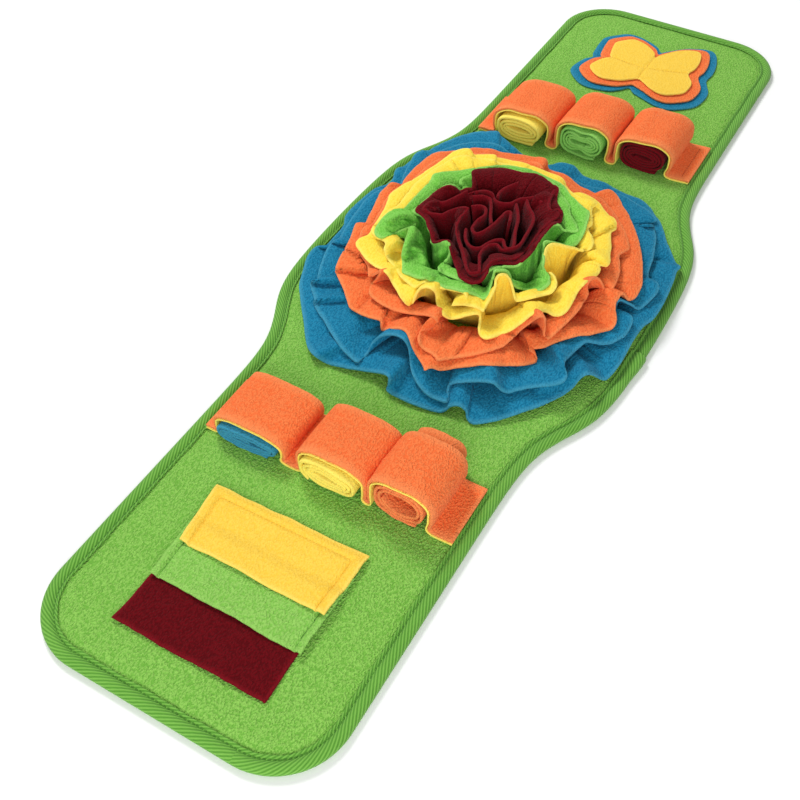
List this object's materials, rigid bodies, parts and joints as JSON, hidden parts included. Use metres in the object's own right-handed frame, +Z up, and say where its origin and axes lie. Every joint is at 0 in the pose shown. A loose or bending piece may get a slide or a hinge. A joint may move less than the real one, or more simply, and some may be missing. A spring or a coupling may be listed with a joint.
{
  "type": "snuffle mat",
  "caption": "Long bound fleece mat with a gathered fleece flower, looped straps holding fleece rolls, stacked flaps and a layered butterfly, for hiding dry pet food.",
  "frame": {"origin": "middle of the mat's underside", "axes": "+X across the mat, +Y along it from the flaps towards the butterfly, +Z up"},
  "size_m": [0.3298, 1, 0.0688],
  "materials": {
    "mat": "matte fleece with a fine pebbled pile",
    "binding": "matte twill tape",
    "blue": "matte fleece",
    "orange": "matte fleece",
    "yellow": "matte fleece",
    "green": "matte fleece",
    "maroon": "matte fleece"
  },
  "bodies": {
    "root": {"mat_pad": "mat", "binding": "binding", "ruffle_blue": "blue", "ruffle_orange": "orange", "ruffle_yellow": "yellow", "ruffle_green": "green", "ruffle_maroon": "maroon", "heart_maroon": "maroon", "near_strap_face": "orange", "near_strap_lining": "yellow", "far_strap_face": "orange", "far_strap_lining": "yellow", "roll_near_blue": "blue", "roll_near_yellow": "yellow", "roll_near_orange": "orange", "roll_far_yellow": "yellow", "roll_far_green": "green", "roll_far_maroon": "maroon", "flap_maroon": "maroon", "flap_green": "green", "flap_yellow": "yellow", "butterfly_blue": "blue", "butterfly_orange": "orange", "butterfly_yellow": "yellow"}
  },
  "joints": []
}
